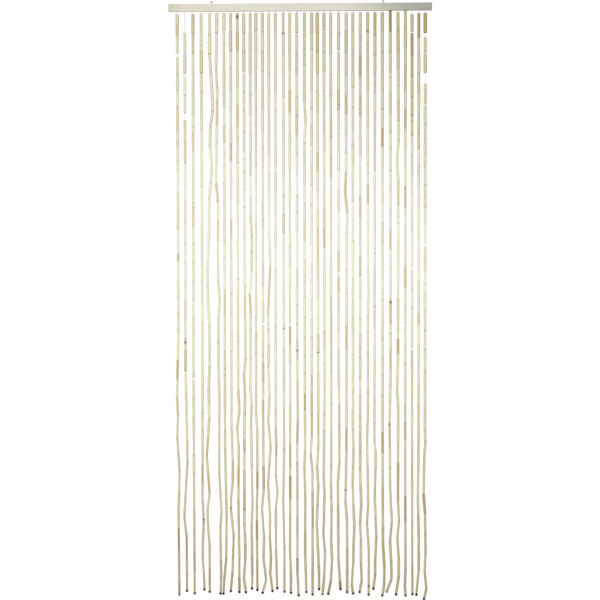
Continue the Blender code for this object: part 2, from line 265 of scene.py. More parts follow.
# sRGB of each cane as it shows where the curtain is palest
CANES = {
    "amber": (0.862, 0.803, 0.65),
    "gold": (0.865, 0.828, 0.668),
    "honey": (0.80, 0.72, 0.54),
    "ochre": (0.74, 0.67, 0.47),
    "brown": (0.68, 0.66, 0.52),
    "rust": (0.85, 0.757, 0.595),
    "pink": (0.885, 0.838, 0.722),
    "tan": (0.855, 0.815, 0.67),
    "umber": (0.81, 0.748, 0.60),
    "olive": (0.828, 0.804, 0.65),
    "straw": (0.878, 0.848, 0.678),
    "drab": (0.78, 0.76, 0.585),
    "grey": (0.84, 0.85, 0.80),
}
PALE_CANES = (
    (0.90, 0.91, 0.81), (0.91, 0.90, 0.82), (0.88, 0.90, 0.80),
    (0.91, 0.92, 0.83), (0.89, 0.88, 0.79), (0.90, 0.89, 0.84),
)
BEAD_STAINS = {
    "black": (0.03, 0.028, 0.025),
    "umber": (0.24, 0.20, 0.16),
    "tan": (0.55, 0.46, 0.34),
    "moss": (0.24, 0.27, 0.21),
    "grey": (0.32, 0.32, 0.30),
    "beige": (0.60, 0.57, 0.46),
    "plum": (0.35, 0.29, 0.31),
}
# How much brighter than its own colour a pale thing shows in the studio's light
STUDIO_GAIN = 1.35


# Settings that a user may change


def length_setting(name, text, usual):
    """A setting in metres, from its usual value in millimetres."""
    return bpy.props.FloatProperty(name=name, description=text, default=usual * MM, unit="LENGTH")


def colour_setting(name, text, usual):
    return bpy.props.FloatVectorProperty(name=name, description=text, default=usual, subtype="COLOR")


class CurtainSettings(bpy.types.PropertyGroup):
    tube_length: length_setting("Tube length", "Usual length of a bamboo tube", 66)
    tube_bore: length_setting("Bore", "Diameter of the hole through a tube", 4.0)
    thread: length_setting("Thread", "Diameter of the nylon thread", 1.2)
    edge_rounding: length_setting("Edge rounding", "Rounding of the batten's edges", 1.2)
    eye_wire: length_setting("Eye wire", "Diameter of the screw eyes' wire", 2.0)
    eye_ring: length_setting("Eye ring", "Half a ring's width, to its wire's middle", 3.75)
    seed: bpy.props.IntProperty(name="Seed", description="Settles how the tubes differ", default=7)
    wood: colour_setting("Wood", "Colour of the batten", (0.535, 0.525, 0.46))
    nylon: colour_setting("Nylon", "Colour of the thread", (0.27, 0.285, 0.31))
    zinc: colour_setting("Zinc", "Colour of the screw eyes", (0.10, 0.102, 0.105))


def settings():
    return bpy.context.scene.door_curtain


# Helpers


def albedo(shown):
    """The linear colour of a surface that the studio's light shows as this sRGB colour."""
    return Vector([((c + 0.055) / 1.055) ** 2.4 / STUDIO_GAIN for c in shown])


def linked(name, data):
    """A new object, in the scene."""
    item = bpy.data.objects.new(name, data)
    bpy.context.scene.collection.objects.link(item)
    return item


def link_piece(shape, material, stands_for=()):
    """Makes the mesh or curve a piece of its own name that rides on the curtain's one body."""
    piece = linked(shape.name, shape)
    shape.materials.append(material)
    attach(piece, BODY)
    if stands_for:
        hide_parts(*stands_for)
    return piece


def raw_mesh(bm, name):
    """The bmesh as a mesh. The bmesh is freed."""
    mesh = bpy.data.meshes.new(name)
    bm.to_mesh(mesh)
    bm.free()
    return mesh


def smoothed(mesh, under=math.radians(40)):
    """The mesh, shaded smooth where its faces meet at less than this angle."""
    mesh.shade_smooth()
    mesh.set_sharp_from_angle(angle=under)
    return mesh


def spun(outline, steps):
    """A bmesh turned about Z from a closed outline of (radius, height) points."""
    bm = bmesh.new()
    points = [bm.verts.new((radius, 0.0, height)) for radius, height in outline]
    edges = [bm.edges.new(pair) for pair in zip(points, points[1:])]
    edges.append(bm.edges.new((points[-1], points[0])))
    bmesh.ops.spin(bm, geom=points + edges, cent=(0, 0, 0), axis=(0, 0, 1), dvec=(0, 0, 0),
                   angle=math.tau, steps=steps, use_merge=True, use_duplicate=False)
    bmesh.ops.remove_doubles(bm, verts=bm.verts, dist=1e-7)
    bmesh.ops.recalc_face_normals(bm, faces=bm.faces)
    return bm


def poly_curve(name, line, radius, resolution, closed=False):
    """A round wire along a line of (point, share of its thickness)."""
    curve = bpy.data.curves.new(name, "CURVE")
    curve.dimensions = "3D"
    curve.bevel_depth = radius
    curve.bevel_resolution = resolution
    curve.use_fill_caps = not closed
    spline = curve.splines.new("POLY")
    spline.points.add(len(line) - 1)
    spline.use_cyclic_u = closed
    for made, (point, share) in zip(spline.points, line):
        made.co = (*point, 1.0)
        made.radius = share
    return curve


def solved_mesh(item):
    """The mesh of an object with its modifiers or its bevel. The object is removed."""
    bpy.context.view_layer.update()
    mesh = bpy.data.meshes.new_from_object(item.evaluated_get(bpy.context.evaluated_depsgraph_get()))
    bpy.data.objects.remove(item)
    return mesh


def swept_mesh(name, line, radius, resolution, closed=False):
    return solved_mesh(linked(name, poly_curve(name, line, radius, resolution, closed)))


# Where a strand hangs

LOWEST_BEAD = max(strand.end[0] for strand in STRANDS)


def aside_at(strand, depth):
    """How far the strand hangs to the right of its hole at this depth, in millimetres."""
    first = BATTEN_HEIGHT + strand.top
    corners = [(first, 0.0), *strand.bends, strand.end]
    if depth <= first:
        return 0.0
    for (upper, left), (lower, right) in zip(corners, corners[1:]):
        if depth <= lower:
            return left + (right - left) * (depth - upper) / (lower - upper)
    return strand.end[1]


def fore_and_aft(number, strand, depth):
    """How far the strand hangs behind the batten's middle plane at this depth, in millimetres."""
    hanging = max(depth - BATTEN_HEIGHT - strand.top, 0.0)
    swing = math.sin(number * SWAY_TURN_PER_STRAND + hanging / FORE_AFT_WAVE)
    return FORE_AFT_SWAY * swing * hanging / LOWEST_BEAD


def on_strand(number, strand, depth):
    """The point of the strand's line at this depth, in metres."""
    aside = strand.hole + aside_at(strand, depth)
    return Vector((aside, fore_and_aft(number, strand, depth), -depth)) * MM


Tube = namedtuple("Tube", "upper lower head foot cane")
# Tubes start and end at bends and marks, but not this near to another start or end
SNAP = 20
# Two bends this near to each other are one jog. The tubes above and below it each take a share.
JOG = 25
JOG_SHARE = 0.47
# How far a cut may lie from its even place, as a share of a tube's length
CUT_SPREAD = (-0.09, 0.09)
JOINT_GAP = 0.3
BEAD_GAP = 0.2


def stops_of(number, strand):
    """Depths where a tube has to end or start, and the stretches between two of them without a tube."""
    first = BATTEN_HEIGHT + strand.top
    last = strand.end[0] - BEAD_RADIUS - BEAD_GAP
    empty = list(strand.bare)
    empty += [(depth - size / 2, depth + size / 2) for depth, size in strand.loose]
    bends = [depth for depth, _ in strand.bends]
    for upper, lower in zip(bends, bends[1:]):
        if lower - upper <= JOG:
            room = JOG_SHARE * (lower - upper)
            empty.append((upper + room, lower - room))
            bends = [depth for depth in bends if depth not in (upper, lower)]
    fixed = [first, last]
    fixed += [depth for pair in empty for depth in pair]
    for depth in bends + [end for start, stop, _ in MARKED.get(number, ()) for end in (start, stop)]:
        if all(abs(depth - other) > SNAP for other in fixed) and first < depth < last:
            fixed.append(depth)
    return sorted(fixed), empty


def cane_at(number, depth):
    """The name of the cane of a marked tube that reaches this depth, or None."""
    canes = (cane for upper, lower, cane in MARKED.get(number, ()) if upper <= depth <= lower)
    return next(canes, None)


def tubes_of(number, strand):
    """The strand's tubes, top to bottom: depths in millimetres, and where their axes start and end."""
    chance = random.Random(settings().seed * 100 + number)
    length = settings().tube_length / MM
    stops, empty = stops_of(number, strand)
    found = []
    for upper, lower in zip(stops, stops[1:]):
        if (upper, lower) in empty:
            continue
        count = max(1, round((lower - upper) / length))
        cuts = [upper + (lower - upper) * i / count for i in range(count + 1)]
        for i in range(1, count):
            cuts[i] += chance.uniform(*CUT_SPREAD) * length
        for start, stop in zip(cuts, cuts[1:]):
            head, foot = on_strand(number, strand, start), on_strand(number, strand, stop)
            found.append(Tube(start, stop, head, foot, cane_at(number, (start + stop) / 2)))
    return found


def tube_radius(strand, depth):
    """Radius of a tube at this depth, in millimetres. The upper tubes are the widest."""
    return strand.wide / 2 * (1 + WIDER_AT_TOP * max(0.0, 1 - depth / WIDER_DOWN_TO))


def room_at_bend(one, other, radius):
    """How far a tube stops short of a bend, so that its rim doesn't cut into the next tube's."""
    if other is None:
        return JOINT_GAP / 2
    angle = (one.foot - one.head).angle(other.foot - other.head)
    return JOINT_GAP / 2 + radius * math.tan(angle / 2)


# Materials


def set_inputs(tree, node, inputs):
    """Sets a node's sockets to values, or links them where the value is a socket."""
    for name, value in inputs.items():
        if isinstance(value, bpy.types.NodeSocket):
            tree.links.new(value, node.inputs[name])
        else:
            node.inputs[name].default_value = value


def add_node(tree, kind, inputs=None, **facts):
    made = tree.nodes.new(kind)
    for name, value in facts.items():
        setattr(made, name, value)
    set_inputs(tree, made, inputs or {})
    return made


def new_material(name):
    material = bpy.data.materials.new(name)
    material.use_nodes = True
    tree = material.node_tree
    return material, tree, tree.nodes["Principled BSDF"]


def attribute(tree, name, output="Vector"):
    return add_node(tree, "ShaderNodeAttribute", attribute_name=name).outputs[output]


def object_place(tree):
    return add_node(tree, "ShaderNodeTexCoord").outputs["Object"]


def noise(tree, vector, scale, detail=2.0, rough=0.5):
    """Noise of one scale, or of one for each axis."""
    if isinstance(scale, tuple):
        mapped = add_node(tree, "ShaderNodeMapping", {"Vector": vector, "Scale": scale})
        vector, scale = mapped.outputs["Vector"], 1.0
    made = add_node(tree, "ShaderNodeTexNoise",
                    {"Vector": vector, "Scale": scale, "Detail": detail, "Roughness": rough})
    return made.outputs["Fac"]


def ramp(tree, value, low, high, to_low=0.0, to_high=1.0):
    """value from low to high, turned smoothly into to_low to to_high."""
    made = add_node(
        tree, "ShaderNodeMapRange",
        {"Value": value, "From Min": low, "From Max": high, "To Min": to_low, "To Max": to_high},
        interpolation_type="SMOOTHSTEP",
    )
    return made.outputs["Result"]


def maths(tree, operation, first, second):
    return add_node(tree, "ShaderNodeMath", {0: first, 1: second}, operation=operation).outputs[0]


def mixed(tree, share, first, second, blend="MIX"):
    made = add_node(tree, "ShaderNodeMix", {0: share, 6: first, 7: second},
                    data_type="RGBA", blend_type=blend)
    return made.outputs[2]


def toned(tree, share, colour, tone):
    """colour, multiplied by tone as far as share says."""
    return mixed(tree, share, colour, mixed(tree, 1.0, colour, (*tone, 1.0), "MULTIPLY"))


def grey(value):
    return (value, value, value, 1.0)


def bumped(tree, height, distance):
    made = add_node(tree, "ShaderNodeBump", {"Height": height, "Distance": distance})
    return made.outputs["Normal"]


def bamboo_material():
    """Cane skin: fine fibres along each tube, cloudy tone, freckles, dark cut ends and specks, and
    painted shade in the bore.

    grain_at is a point in its own tube's frame in millimetres, ends is (distance below the upper end,
    distance above the lower end, how dark the ends are), and speck is (its distance below the upper
    end, its size, how dark it is).
    """
    material, tree, shader = new_material("bamboo")
    # Each tube's colour, its painted shade included
    tint = attribute(tree, "tint", "Color")
    place = attribute(tree, "grain_at")
    ends = attribute(tree, "ends")
    speck = attribute(tree, "speck")

    fibres = noise(tree, place, (1.9, 1.9, 0.045), 3.0, 0.6)
    clouds = noise(tree, place, (0.22, 0.22, 0.04))
    blotches = noise(tree, place, (0.45, 0.45, 0.16), 3.0, 0.55)
    pores = noise(tree, place, (2.6, 2.6, 0.5), 1.0)

    streaks = add_node(
        tree, "ShaderNodeCombineColor",
        {0: ramp(tree, fibres, 0.3, 0.7, 0.93, 1.05), 1: ramp(tree, fibres, 0.3, 0.7, 0.91, 1.05),
         2: ramp(tree, fibres, 0.3, 0.7, 0.84, 1.07)},
    ).outputs[0]
    streaked = mixed(tree, 1.0, tint, streaks, "MULTIPLY")
    clouded = toned(tree, ramp(tree, clouds, 0.42, 0.68, 0.0, 0.6), streaked, (0.93, 0.90, 0.76))
    stained = toned(tree, ramp(tree, blotches, 0.62, 0.76, 0.0, 0.5), clouded, (0.76, 0.64, 0.46))
    freckled = toned(tree, ramp(tree, pores, 0.71, 0.80, 0.0, 0.5), stained, (0.45, 0.36, 0.24))

    apart = add_node(tree, "ShaderNodeSeparateXYZ", {0: ends}).outputs
    nearest = maths(tree, "MINIMUM", apart[0], apart[1])
    ragged = maths(tree, "ADD", nearest, ramp(tree, blotches, 0.35, 0.65, -1.2, 1.8))
    at_end = maths(tree, "MULTIPLY", ramp(tree, ragged, 0.4, 3.4, 1.0, 0.0), apart[2])
    ended = toned(tree, at_end, freckled, (0.50, 0.43, 0.31))
    # Painted shade inside the bore, whose faces carry IN_BORE in ends
    hollow = toned(tree, ramp(tree, nearest, -2.0, -0.5, 1.0, 0.0), ended, (0.34, 0.26, 0.16))

    spot = add_node(tree, "ShaderNodeSeparateXYZ", {0: speck}).outputs
    away = maths(tree, "ABSOLUTE", maths(tree, "SUBTRACT", apart[0], spot[0]), 0.0)
    apart_by = maths(tree, "DIVIDE", away, spot[1])
    frayed = maths(tree, "ADD", apart_by, ramp(tree, blotches, 0.3, 0.7, -0.3, 0.3))
    in_spot = maths(tree, "MULTIPLY", ramp(tree, frayed, 0.25, 0.65, 1.0, 0.0), spot[2])
    marked = toned(tree, in_spot, hollow, (0.22, 0.13, 0.07))

    set_inputs(tree, shader, {
        "Base Color": marked,
        "Roughness": ramp(tree, fibres, 0.3, 0.7, 0.62, 0.46),
        "Normal": bumped(tree, fibres, 0.09 * MM),
        "Specular IOR Level": 0.25,
    })
    return material


def bead_material():
    """Stained, polished wood, rubbed in patches towards a dark brown."""
    material, tree, shader = new_material("stained bead")
    tint = attribute(tree, "tint", "Color")
    place = object_place(tree)
    grain = noise(tree, place, (900, 900, 260), 3.0)
    worn = noise(tree, place, 420.0)
    grained = toned(tree, ramp(tree, grain, 0.35, 0.7, 0.0, 0.6), tint, (0.5, 0.45, 0.4))
    rubbed = mixed(tree, ramp(tree, worn, 0.66, 0.8, 0.0, 0.2), grained, (0.12, 0.09, 0.06, 1.0))
    set_inputs(tree, shader, {
        "Base Color": rubbed,
        "Roughness": ramp(tree, grain, 0.3, 0.7, 0.45, 0.60),
        "Normal": bumped(tree, grain, 0.05 * MM),
        "Specular IOR Level": 0.2,
    })
    return material


def nylon_material():
    """Clear monofilament, a little milky, with dust on it."""
    material, tree, shader = new_material("nylon thread")
    place = object_place(tree)
    dust = noise(tree, place, (900, 900, 140), 3.0)
    clear = (*settings().nylon, 1.0)
    dusty = mixed(tree, ramp(tree, dust, 0.5, 0.75, 0.0, 0.5), clear, (0.42, 0.42, 0.41, 1.0))
    set_inputs(tree, shader, {
        "Base Color": dusty,
        "Roughness": ramp(tree, dust, 0.4, 0.75, 0.18, 0.4),
        "IOR": 1.53,
        "Subsurface Weight": 0.15,
        "Subsurface Scale": 0.5 * MM,
    })
    return material


def batten_material():
    """Planed softwood: growth lines along X, pinkish and greenish patches, and painted shade that greys
    the right end, dims the left end and darkens the underside.
    """
    material, tree, shader = new_material("planed wood")
    place = object_place(tree)
    axes = add_node(tree, "ShaderNodeSeparateXYZ", {0: place}).outputs
    warp = noise(tree, place, (3.0, 30.0, 30.0))
    shift = add_node(tree, "ShaderNodeCombineXYZ", {2: ramp(tree, warp, 0.2, 0.8, -0.004, 0.004)})
    moved = add_node(tree, "ShaderNodeVectorMath", {0: place, 1: shift.outputs[0]}, operation="ADD")
    bent = moved.outputs[0]
    lines = noise(tree, bent, (5.0, 420.0, 420.0), 3.0, 0.55)
    fibres = noise(tree, bent, (40.0, 2400.0, 2400.0))
    patches = noise(tree, place, (9.0, 50.0, 70.0))
    pores = noise(tree, place, (170.0, 1500.0, 1500.0), 1.0)

    wood = (*settings().wood, 1.0)
    lined = toned(tree, ramp(tree, lines, 0.40, 0.66, 0.0, 0.6), wood, (0.90, 0.86, 0.76))
    fibred = toned(tree, ramp(tree, fibres, 0.35, 0.7, 0.0, 0.4), lined, (0.86, 0.83, 0.77))
    pink = toned(tree, ramp(tree, patches, 0.50, 0.64, 0.0, 0.7), fibred, (1.02, 0.93, 0.90))
    green = toned(tree, ramp(tree, patches, 0.34, 0.47, 0.7, 0.0), pink, (0.96, 1.0, 0.86))
    # Painted shade: the left end dimmed a little and the right end greyed
    shaded_left_end = toned(tree, ramp(tree, axes[0], -0.45, -0.38, 1.0, 0.0), green, (0.90, 0.90, 0.93))
    shaded_right_end = toned(tree, ramp(tree, axes[0], 0.13, 0.43, 0.0, 1.0), shaded_left_end, (0.55, 0.57, 0.60))
    dotted = toned(tree, ramp(tree, pores, 0.70, 0.78, 0.0, 0.55), shaded_right_end, (0.5, 0.42, 0.3))
    # Painted shade along the batten's underside
    shaded_underside = toned(tree, ramp(tree, axes[2], -0.0254, -0.0238, 0.7, 0.0), dotted, (0.78, 0.77, 0.68))
    coarse, fine = maths(tree, "MULTIPLY", lines, 0.6), maths(tree, "MULTIPLY", fibres, 0.4)
    set_inputs(tree, shader, {
        "Base Color": shaded_underside,
        "Roughness": ramp(tree, fibres, 0.3, 0.7, 0.52, 0.68),
        "Normal": bumped(tree, maths(tree, "ADD", coarse, fine), 0.12 * MM),
    })
    return material


def zinc_material():
    """Dull zinc plating, cloudy, with the drawn wire's fine lines."""
    material, tree, shader = new_material("zinc steel")
    place = object_place(tree)
    clouds = noise(tree, place, 260.0, 3.0)
    lines = noise(tree, place, (2400, 2400, 300))
    zinc = (*settings().zinc, 1.0)
    set_inputs(tree, shader, {
        "Base Color": toned(tree, ramp(tree, clouds, 0.4, 0.7, 0.0, 0.7), zinc, (0.55, 0.54, 0.52)),
        "Metallic": 1.0,
        "Roughness": ramp(tree, clouds, 0.3, 0.7, 0.30, 0.5),
        "Normal": bumped(tree, lines, 0.03 * MM),
    })
    return material


def paper_material():
    """White paper for the studio's floor."""
    material, tree, shader = new_material("studio paper")
    place = object_place(tree)
    fleck = noise(tree, place, 60.0, 3.0)
    flecked = mixed(tree, ramp(tree, fleck, 0.3, 0.7), grey(0.93), grey(0.95))
    set_inputs(tree, shader, {"Base Color": flecked, "Roughness": 0.9})
    return material


# Bamboo tubes

TUBE_SIDES = 10
BORE_SHARE = 0.5
RIM = 0.88
CHAMFER = 0.007
# The ends value of the bore's faces, which the bamboo material darkens with painted shade
IN_BORE = -3.0

# How one tube may differ from the next. Sizes are shares of its own, but for bow, which is in mm.
WIDTH_SPREAD = (0.94, 1.14)
TAPER_SPREAD = (-0.03, 0.03)
BOW_SPREAD = (0.0, 0.35)
OVAL_SPREAD = (0.95, 1.0)
SKEW_SPREAD = (-0.02, 0.02)
GRAIN_SPREAD = (0, 9000)
DARK_ENDS = (0.0, 0.05, 0.1, 0.2, 0.3, 0.6)
SPECK_SIZES = (1.5, 4.0)
SPECK_DARKNESS = (0, 0, 0, 0, 0.4)
BRIGHTNESS_SPREAD = (0.93, 1.07)
GREEN_SPREAD = (0.98, 1.02)
BLUE_SPREAD = (0.94, 1.06)

# Millimetres below the batten's top where the curtain is palest, free of painted shade, and down to
# which its top is darkened with painted shade
LEAST_SHADED_AT = 870.0
SHADED_ABOVE = 620.0
HALF_WIDTH = 450.0
# How much darker tubes get in all, as painted shade, and in green and in blue. cane: how much of the
# last two a
# marked tube gets. curve: the power by which it grows.
Shade = namedtuple("Shade", "all green blue cane curve")
AT_FOOT = Shade(0.43, 0.10, 0.33, 0.9, 1.4)
AT_TOP = Shade(0.24, 0.05, 0.18, 0.6, 0.8)
FOOT_BLUE_CURVE = 0.55
# Brightness where a tube has no painted shade
UNSHADED_LEVEL = 1.025
# How much more painted shade the right-hand strands' tops get
RIGHT_SHADE = 0.5


def tube_master(name, rings):
    """A hollow tube one long with a radius of one, and with these outer rings of (radius, place)."""
    outline = [(BORE_SHARE, 0.0), (RIM, 0.0), (1.0, CHAMFER)]
    outline += rings
    outline += [(1.0, 1.0 - CHAMFER), (RIM, 1.0), (BORE_SHARE, 1.0)]
    return raw_mesh(spun(outline, TUBE_SIDES), name)


def tube_masters():
    """Plain tubes, and a few with the low ring of a cut node."""
    plain = tube_master("plain_tube", [(1.0, 0.5)])
    node = tube_master("node_tube", [(1.0, 0.70), (1.07, 0.715), (1.0, 0.74)])
    return [plain, plain, plain, plain, node]


def shaded_tube_colour(cane, depth, across, chance):
    """A tube's colour: its cane, varied, darker and browner to the foot, and to the top and right; the
    darkening is painted shade.
    """
    shown = albedo(CANES[cane] if cane else chance.choice(PALE_CANES))
    shown *= chance.uniform(*BRIGHTNESS_SPREAD)
    shown.y *= chance.uniform(*GREEN_SPREAD)
    shown.z *= chance.uniform(*BLUE_SPREAD)
    # low and high: how far the painted shade towards the foot and towards the top has grown
    low = max(0.0, (depth - LEAST_SHADED_AT) / (LOWEST_BEAD - LEAST_SHADED_AT)) ** AT_FOOT.curve
    high = max(0.0, 1 - depth / SHADED_ABOVE) ** AT_TOP.curve * (1 + RIGHT_SHADE * across)
    by_foot, by_top = (AT_FOOT.cane, AT_TOP.cane) if cane else (1.0, 1.0)
    shown *= UNSHADED_LEVEL - AT_FOOT.all * low - AT_TOP.all * high
    shown.y *= 1 - by_foot * AT_FOOT.green * low - by_top * AT_TOP.green * high
    shown.z *= 1 - by_foot * AT_FOOT.blue * low ** FOOT_BLUE_CURVE - by_top * AT_TOP.blue * high
    return (*shown, 1.0)


def speck_on(number, tube, long, chance):
    """A tube's burnt speck, placed or by chance: how far below the upper end, how large, how dark."""
    for depth, size in SPECKS.get(number, ()):
        if tube.upper <= depth < tube.lower:
            return depth - tube.upper, size, 1.0
    return chance.uniform(0, long), chance.uniform(*SPECK_SIZES), chance.choice(SPECK_DARKNESS)


def place_tube(bm, layers, master, number, strand, tube, spare, chance):
    """Adds one tube along its stretch of the strand's line. spare is how far it stops short, in mm."""
    first = len(bm.verts)
    bm.from_mesh(master)
    bm.verts.ensure_lookup_table()
    middle = (tube.upper + tube.lower) / 2
    radius = tube_radius(strand, middle) * chance.uniform(*WIDTH_SPREAD)
    bore = settings().tube_bore / MM / 2
    down = tube.foot - tube.head
    long = down.length / MM - sum(spare)
    head = tube.head + down.normalized() * spare[0] * MM
    turn = down.to_track_quat("Z", "Y").to_matrix().to_4x4()
    turn = Matrix.Translation(head) @ turn @ Matrix.Rotation(chance.uniform(0, math.tau), 4, "Z")
    taper = chance.uniform(*TAPER_SPREAD)
    bow = chance.uniform(*BOW_SPREAD)
    oval = chance.uniform(*OVAL_SPREAD)
    skew = chance.uniform(*SKEW_SPREAD)
    # The tube's colour, with its painted shade
    tint = shaded_tube_colour(tube.cane, middle, strand.hole / HALF_WIDTH, chance)
    dark_ends = chance.choice(DARK_ENDS)
    grain_from = Vector((0.0, 0.0, chance.uniform(*GRAIN_SPREAD)))
    depth, size, dark = speck_on(number, tube, long, chance)
    for vert in bm.verts[first:]:
        around, along = Vector(vert.co[:2]), vert.co.z
        inside = around.length < (BORE_SHARE + RIM) / 2
        wide = bore / BORE_SHARE if inside else radius * (1 + taper * (2 * along - 1))
        sideways = around.x * wide + bow * 4 * along * (1 - along)
        at = Vector((sideways, around.y * wide * oval, along * long))
        at.z += skew * around.y * wide if along in (0.0, 1.0) else 0.0
        vert[layers["grain_at"]] = at + grain_from
        vert[layers["ends"]] = (IN_BORE, IN_BORE, dark_ends) if inside else (
            along * long, (1 - along) * long, dark_ends)
        facing = -(turn.to_3x3() @ Vector((around.x, around.y, 0.0)).normalized()).y
        vert[layers["speck"]] = (depth, size, dark * max(0.0, facing))
        vert[layers["tint"]] = tint
        vert.co = turn @ (at * MM)


def build_tubes(number, strand, masters, material, chance):
    bm = bmesh.new()
    layers = {
        "grain_at": bm.verts.layers.float_vector.new("grain_at"),
        "ends": bm.verts.layers.float_vector.new("ends"),
        "speck": bm.verts.layers.float_vector.new("speck"),
        "tint": bm.verts.layers.float_color.new("tint"),
    }
    tubes = tubes_of(number, strand)
    for above, tube, below in zip([None, *tubes], tubes, [*tubes[1:], None]):
        radius = tube_radius(strand, tube.upper)
        spare = [room_at_bend(tube, other, radius) for other in (above, below)]
        place_tube(bm, layers, chance.choice(masters), number, strand, tube, spare, chance)
    mesh = smoothed(raw_mesh(bm, f"strand_{number:02d}_tubes"))
    link_piece(mesh, material, [f"strand_{number:02d}"])


class OBJECT_OT_curtain_tubes(bpy.types.Operator):
    """Strings the bamboo tubes of every strand"""

    bl_idname = "object.curtain_tubes"
    bl_label = "Bamboo Tubes"

    def execute(self, context):
        material = bamboo_material()
        masters = tube_masters()
        chance = random.Random(settings().seed)
        for number, strand in enumerate(STRANDS, start=1):
            build_tubes(number, strand, masters, material, chance)
        for master in set(masters):
            bpy.data.meshes.remove(master)
        return {"FINISHED"}


# Threads and their knots

# (depth below the end bead's foot in mm, share of the thread's thickness) of the knot under it
END_KNOT = ((-1.6, 1.0), (-0.9, 2.3), (0.4, 2.3), (0.9, 0.9))
KNOT_DEPTH = 1.5
KNOT_STEPS = 20
KNOT_TURN = 0.42
KNOT_WAVE = 0.7
KNOT_WIRE_SHARE = 0.46
LEAST_STEP = 0.1


def thread_line(number, strand):
    """The thread's (point, share of its thickness), from its upper knot to the one under the bead."""
    depths = [KNOT_DEPTH, KNOT_POCKET_DEPTH, BATTEN_HEIGHT / 2, BATTEN_HEIGHT]
    line = [(on_strand(number, strand, depth), 1.0) for depth in depths]
    for tube in tubes_of(number, strand):
        for point in (tube.head, tube.foot):
            if (point - line[-1][0]).length > LEAST_STEP * MM:
                line.append((point, 1.0))
    line.append((on_strand(number, strand, strand.end[0]), 1.0))
    under = strand.end[0] + BEAD_RADIUS
    line += [(on_strand(number, strand, under + below), share) for below, share in END_KNOT]
    return line


def build_thread(number, strand, material):
    """One open curve from the batten's hole to under the bead."""
    node = f"strand_{number:02d}"
    line = thread_line(number, strand)
    curve = poly_curve(f"{node}_thread", line, settings().thread / 2, 1)
    thread = link_piece(curve, material, [node])


class OBJECT_OT_curtain_threads(bpy.types.Operator):
    """Runs a nylon thread through the batten, the tubes and the end bead of every strand"""

    bl_idname = "object.curtain_threads"
    bl_label = "Threads"

    def execute(self, context):
        material = nylon_material()
        for number, strand in enumerate(STRANDS, start=1):
            build_thread(number, strand, material)
        return {"FINISHED"}


def knot_mesh():
    """An overhand knot pulled tight: a closed trefoil of thread, about the middle of the knot."""
    line = []
    for step in range(KNOT_STEPS):
        t = math.tau * step / KNOT_STEPS
        x, y = math.sin(t) + 2 * math.sin(2 * t), math.cos(t) - 2 * math.cos(2 * t)
        line.append((Vector((x * KNOT_TURN, y * KNOT_TURN, -KNOT_WAVE * math.sin(3 * t))) * MM, 1.0))
    return swept_mesh("knot", line, settings().thread * KNOT_WIRE_SHARE, 1, closed=True)


class OBJECT_OT_curtain_knots(bpy.types.Operator):
    """Ties each thread off in a knot sunk in the batten's top"""

    bl_idname = "object.curtain_knots"
    bl_label = "Knots"

    def execute(self, context):
        chance = random.Random(settings().seed + 1)
        knot = knot_mesh()
        bm = bmesh.new()
        for strand in STRANDS:
            first = len(bm.verts)
            bm.from_mesh(knot)
            bm.verts.ensure_lookup_table()
            place = Matrix.Translation(Vector((strand.hole, 0.0, -KNOT_DEPTH)) * MM)
            turn = place @ Matrix.Rotation(chance.uniform(0, math.tau), 4, "Z")
            bmesh.ops.transform(bm, matrix=turn, verts=bm.verts[first:])
        bpy.data.meshes.remove(knot)
        mesh = smoothed(raw_mesh(bm, "thread_knots"), math.radians(70))
        link_piece(mesh, bpy.data.materials["nylon thread"])
        return {"FINISHED"}


# End beads

BEAD_SIDES = 16
# (share of the radius, share of it above the middle), round the wall from the hole's upper mouth
BEAD_OUTLINE = (
    (0.26, 0.80), (0.32, 0.92), (0.50, 0.86), (0.74, 0.66), (0.92, 0.38), (1.0, 0.0),
    (0.92, -0.38), (0.74, -0.66), (0.50, -0.86), (0.32, -0.92), (0.26, -0.80),
)


def build_bead(number, strand, material):
    """A turned bead with a hole along it and rounded mouths."""
    size = BEAD_RADIUS * MM
    bm = spun([(radius * size, height * size) for radius, height in BEAD_OUTLINE], BEAD_SIDES)
    stain = (*albedo(BEAD_STAINS[strand.bead]), 1.0)
    tint = bm.verts.layers.float_color.new("tint")
    for vert in bm.verts:
        vert[tint] = stain
    bmesh.ops.translate(bm, verts=bm.verts, vec=on_strand(number, strand, strand.end[0]))
    mesh = smoothed(raw_mesh(bm, f"strand_{number:02d}_bead"), math.radians(50))
    link_piece(mesh, material, [f"strand_{number:02d}"])


class OBJECT_OT_curtain_beads(bpy.types.Operator):
    """Turns the small round bead at the end of every strand"""

    bl_idname = "object.curtain_beads"
    bl_label = "End Beads"

    def execute(self, context):
        material = bead_material()
        for number, strand in enumerate(STRANDS, start=1):
            build_bead(number, strand, material)
        return {"FINISHED"}


# Batten


def drilled(bm, place, radius, top, bottom, sides):
    """Adds one upright round cutter to a bmesh of cutters."""
    depth = top - bottom
    middle = Matrix.Translation(Vector((place, 0.0, (top + bottom) / 2)) * MM)
    bmesh.ops.create_cone(bm, cap_ends=True, segments=sides, radius1=radius * MM, radius2=radius * MM,
                          depth=depth * MM, matrix=middle)


